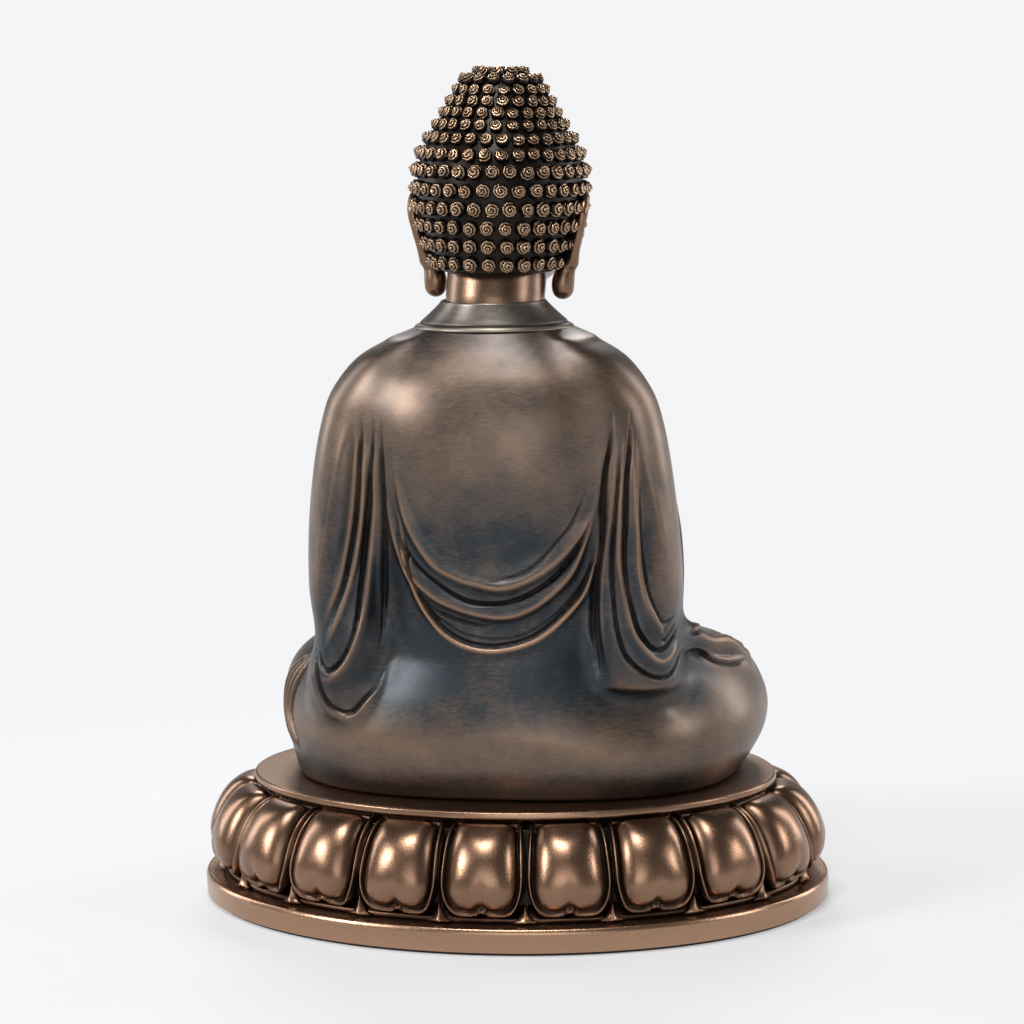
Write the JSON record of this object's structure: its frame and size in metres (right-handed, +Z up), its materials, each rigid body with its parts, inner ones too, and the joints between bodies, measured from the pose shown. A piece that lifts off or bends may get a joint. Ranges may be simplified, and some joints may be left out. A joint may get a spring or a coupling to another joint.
{
  "type": "buddha statue",
  "caption": "Seated meditating Buddha in patinated bronze, with robe, curled hair and long ears, on an oval lotus pedestal.",
  "frame": {"origin": "middle of the pedestal's footprint, on the surface that it stands on", "axes": "+Z up; the figure faces -Y; its left hand is on the +X side"},
  "size_m": [0.19, 0.146, 0.249],
  "materials": {
    "felt": "black-brown wool felt",
    "board": "bare fibreboard",
    "steel": "zinc plated",
    "bronze_warm": "antique bronze patina, rubbed to copper brown on the high places",
    "bronze_dark": "near black patina in the recesses",
    "bronze_robe": "dark patina with brown rubbed shoulders and copper bright fold edges",
    "bronze_collar": "rubbed bright satin bronze",
    "bronze_skin": "smooth rubbed brown bronze",
    "bronze_hair": "black patina with polished curl tips"
  },
  "bodies": {
    "root": {"felt_pad": "felt", "closing_board": "board", "board_screws": "steel", "plinth": "bronze_warm", "lotus_core": "bronze_dark", "lotus_petals": "bronze_warm", "petal_tips": "bronze_warm", "seat_plate": "bronze_warm", "seat_pins": "steel", "figure_bolt": "steel", "bolt_washers": "steel", "bolt_nut": "steel", "crossed_legs": "bronze_robe", "robed_torso": "bronze_robe", "robe_collar": "bronze_collar", "left_hand": "bronze_skin", "right_hand": "bronze_skin", "neck_dowel": "steel", "head": "bronze_skin", "left_ear": "bronze_skin", "right_ear": "bronze_skin", "hair_cap": "bronze_dark", "hair_curls": "bronze_hair", "crown_jewel": "bronze_collar", "urna": "bronze_skin"}
  },
  "joints": []
}
